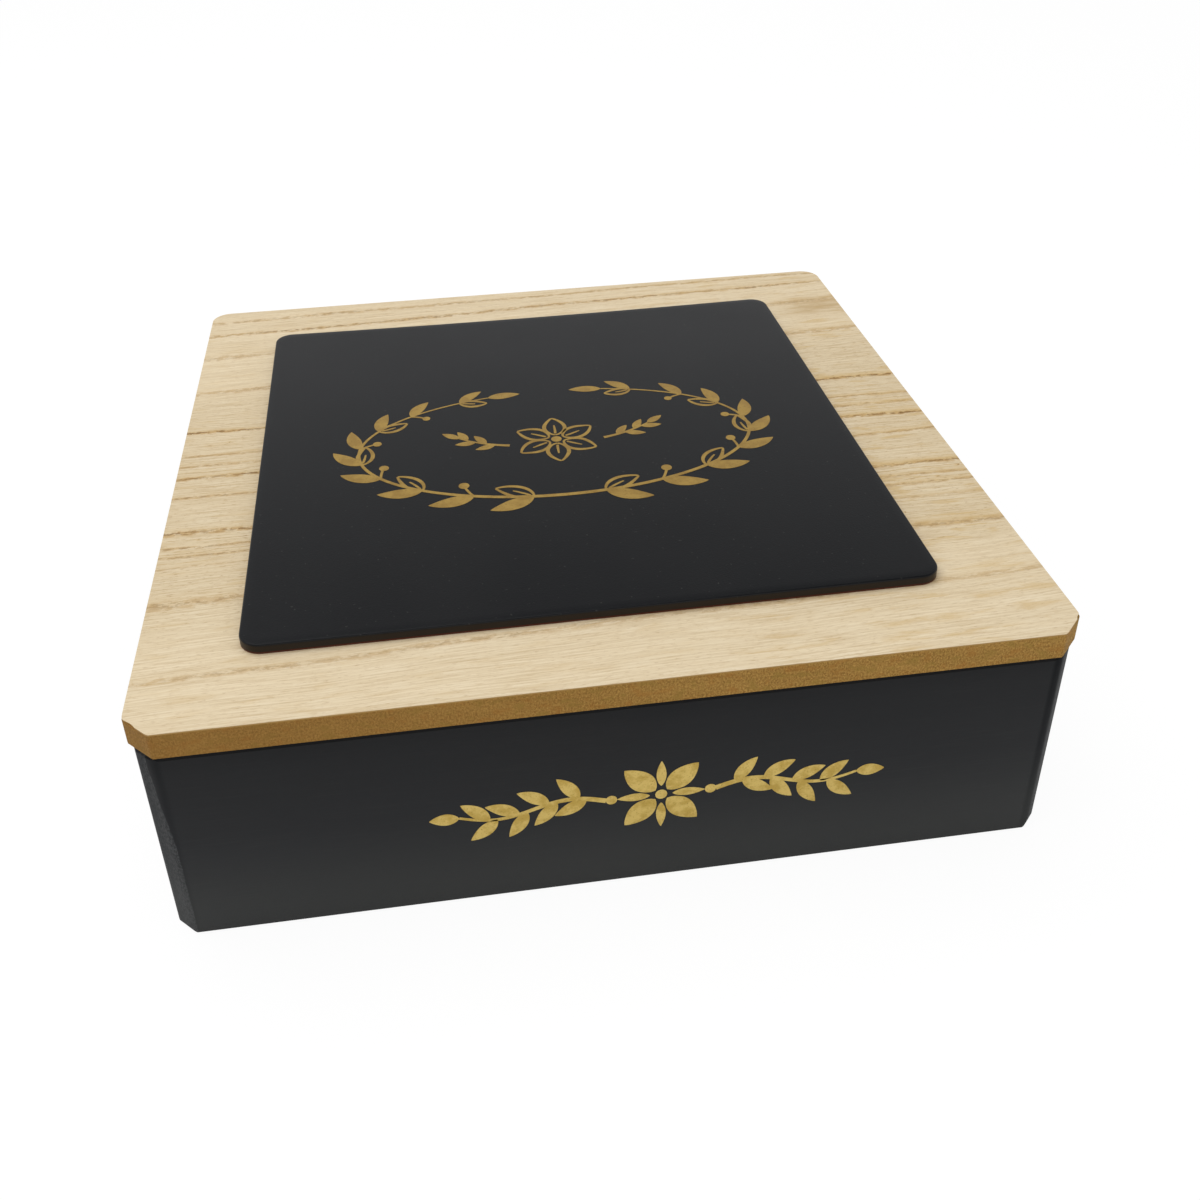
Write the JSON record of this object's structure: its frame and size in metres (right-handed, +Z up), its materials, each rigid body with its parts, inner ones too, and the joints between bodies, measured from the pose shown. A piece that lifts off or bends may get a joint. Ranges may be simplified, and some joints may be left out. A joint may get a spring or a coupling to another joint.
{
  "type": "tea bag organizer box",
  "caption": "Shallow square box with a grid of tea bag compartments under a hinged veneered lid that carries a raised black plaque.",
  "frame": {"origin": "on the supporting surface, under the middle of the lid", "axes": "+Z up, front of the box towards -Y, +X to the right as seen from the front"},
  "size_m": [0.24, 0.24, 0.0734],
  "materials": {
    "black_paint": "matt black-grey paint on fibreboard, with a faint roller texture and paler rubbed corners",
    "plaque_paint": "smooth matt black paint on thin fibreboard, brown-black at the cut edge",
    "bare_board": "bare fibreboard edge, speckled brown",
    "pale_veneer": "pale open-pored veneer, grain running left to right",
    "hinge_brass": "plated hinge metal",
    "gold_print": "satin gold print on the front and the plaque"
  },
  "bodies": {
    "box": {"front_wall": "black_paint", "back_wall": "black_paint", "left_wall": "black_paint", "right_wall": "black_paint", "bottom_panel": "black_paint", "row_divider_front": "black_paint", "row_divider_rear": "black_paint", "column_divider_left": "black_paint", "column_divider_right": "black_paint", "left_hinge_box_leaf": "hinge_brass", "right_hinge_box_leaf": "hinge_brass", "left_hinge_pin": "hinge_brass", "right_hinge_pin": "hinge_brass", "left_hinge_box_screws": "hinge_brass", "right_hinge_box_screws": "hinge_brass"},
    "lid": {"lid_board": "bare_board", "lid_veneer": "pale_veneer", "lid_plaque": "plaque_paint", "left_hinge_lid_leaf": "hinge_brass", "right_hinge_lid_leaf": "hinge_brass", "left_hinge_lid_screws": "hinge_brass", "right_hinge_lid_screws": "hinge_brass"}
  },
  "joints": [
    {"name": "lid_hinge", "type": "hinge", "parent": "box", "child": "lid", "pos_m": [0, 0.11668, 0.06245], "axis": [-1, 0, 0], "range_deg": [0, 100]}
  ]
}
